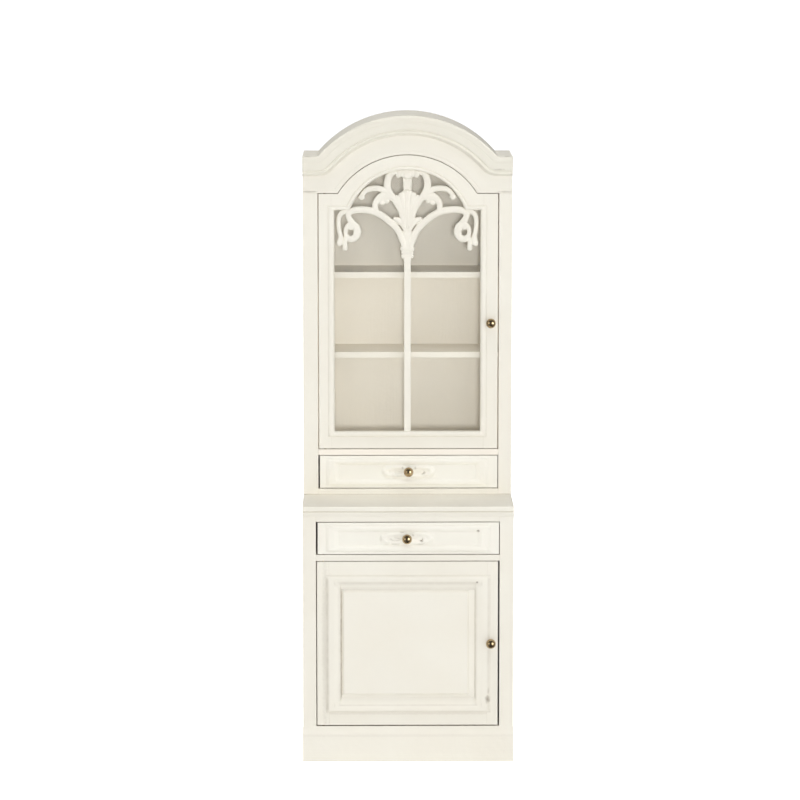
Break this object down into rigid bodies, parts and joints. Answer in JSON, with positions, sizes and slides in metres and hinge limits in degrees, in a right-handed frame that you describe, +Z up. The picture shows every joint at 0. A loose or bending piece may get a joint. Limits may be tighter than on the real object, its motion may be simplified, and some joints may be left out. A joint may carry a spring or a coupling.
{
  "type": "curio cabinet",
  "caption": "Miniature two-part curio cabinet: glazed hutch with an arched top, tracery and shelves, over a cupboard base, with hinged doors and sliding drawers.",
  "frame": {"origin": "on the floor, at the centre of the cabinet's bounding box, knobs included", "axes": "+X to the cabinet's right seen from the front, -Y towards the front, +Z up"},
  "size_m": [0.0604, 0.0476, 0.1836],
  "materials": {
    "ivory_paint": "thick satin ivory paint brushed over basswood",
    "bare_wood": "unpainted pale basswood, lightly sanded",
    "brass": "polished turned brass",
    "clear_pane": "thin clear acrylic sheet"
  },
  "bodies": {
    "cabinet": {"base_side_left": "ivory_paint", "base_side_right": "ivory_paint", "base_back": "ivory_paint", "cupboard_floor": "ivory_paint", "lower_drawer_board": "ivory_paint", "base_top_board": "ivory_paint", "plinth_front": "ivory_paint", "waist_cove": "ivory_paint", "waist_board": "ivory_paint", "hutch_side_left": "ivory_paint", "hutch_side_right": "ivory_paint", "hutch_back": "ivory_paint", "hutch_bottom": "ivory_paint", "display_floor": "ivory_paint", "shelf_lower": "ivory_paint", "shelf_upper": "ivory_paint", "head_board": "ivory_paint", "roof_skin": "ivory_paint", "cornice_arch": "ivory_paint", "cornice_shoulder_left": "ivory_paint", "cornice_shoulder_right": "ivory_paint", "upper_hinge_pins": "brass", "lower_hinge_pins": "brass"},
    "upper_door": {"upper_door_stile_left": "ivory_paint", "upper_door_stile_right": "ivory_paint", "upper_door_rail_bottom": "ivory_paint", "upper_door_rail_top": "ivory_paint", "upper_door_bead": "ivory_paint", "upper_door_pane": "clear_pane", "upper_door_mullion": "ivory_paint", "upper_door_fretwork": "ivory_paint", "upper_door_knob": "brass"},
    "lower_door": {"lower_door_stile_left": "ivory_paint", "lower_door_stile_right": "ivory_paint", "lower_door_rail_bottom": "ivory_paint", "lower_door_rail_top": "ivory_paint", "lower_door_panel": "ivory_paint", "lower_door_moulding": "ivory_paint", "lower_door_knob": "brass"},
    "upper_drawer": {"upper_drawer_front": "ivory_paint", "upper_drawer_moulding": "ivory_paint", "upper_drawer_applique": "ivory_paint", "upper_drawer_side_left": "bare_wood", "upper_drawer_side_right": "bare_wood", "upper_drawer_back": "bare_wood", "upper_drawer_bottom": "bare_wood", "upper_drawer_knob": "brass"},
    "lower_drawer": {"lower_drawer_front": "ivory_paint", "lower_drawer_moulding": "ivory_paint", "lower_drawer_applique": "ivory_paint", "lower_drawer_side_left": "bare_wood", "lower_drawer_side_right": "bare_wood", "lower_drawer_back": "bare_wood", "lower_drawer_bottom": "bare_wood", "lower_drawer_knob": "brass"}
  },
  "joints": [
    {"name": "upper_door_hinge", "type": "hinge", "parent": "cabinet", "child": "upper_door", "pos_m": [-0.0237, 0.00088, 0.1243], "axis": [0, 0, -1], "range_deg": [0, 100]},
    {"name": "lower_door_hinge", "type": "hinge", "parent": "cabinet", "child": "lower_door", "pos_m": [-0.0242, -0.01922, 0.0346], "axis": [0, 0, -1], "range_deg": [0, 95]},
    {"name": "upper_drawer_slide", "type": "slide", "parent": "cabinet", "child": "upper_drawer", "axis": [0, -1, 0], "range_m": [0, 0.015]},
    {"name": "lower_drawer_slide", "type": "slide", "parent": "cabinet", "child": "lower_drawer", "axis": [0, -1, 0], "range_m": [0, 0.03]}
  ]
}
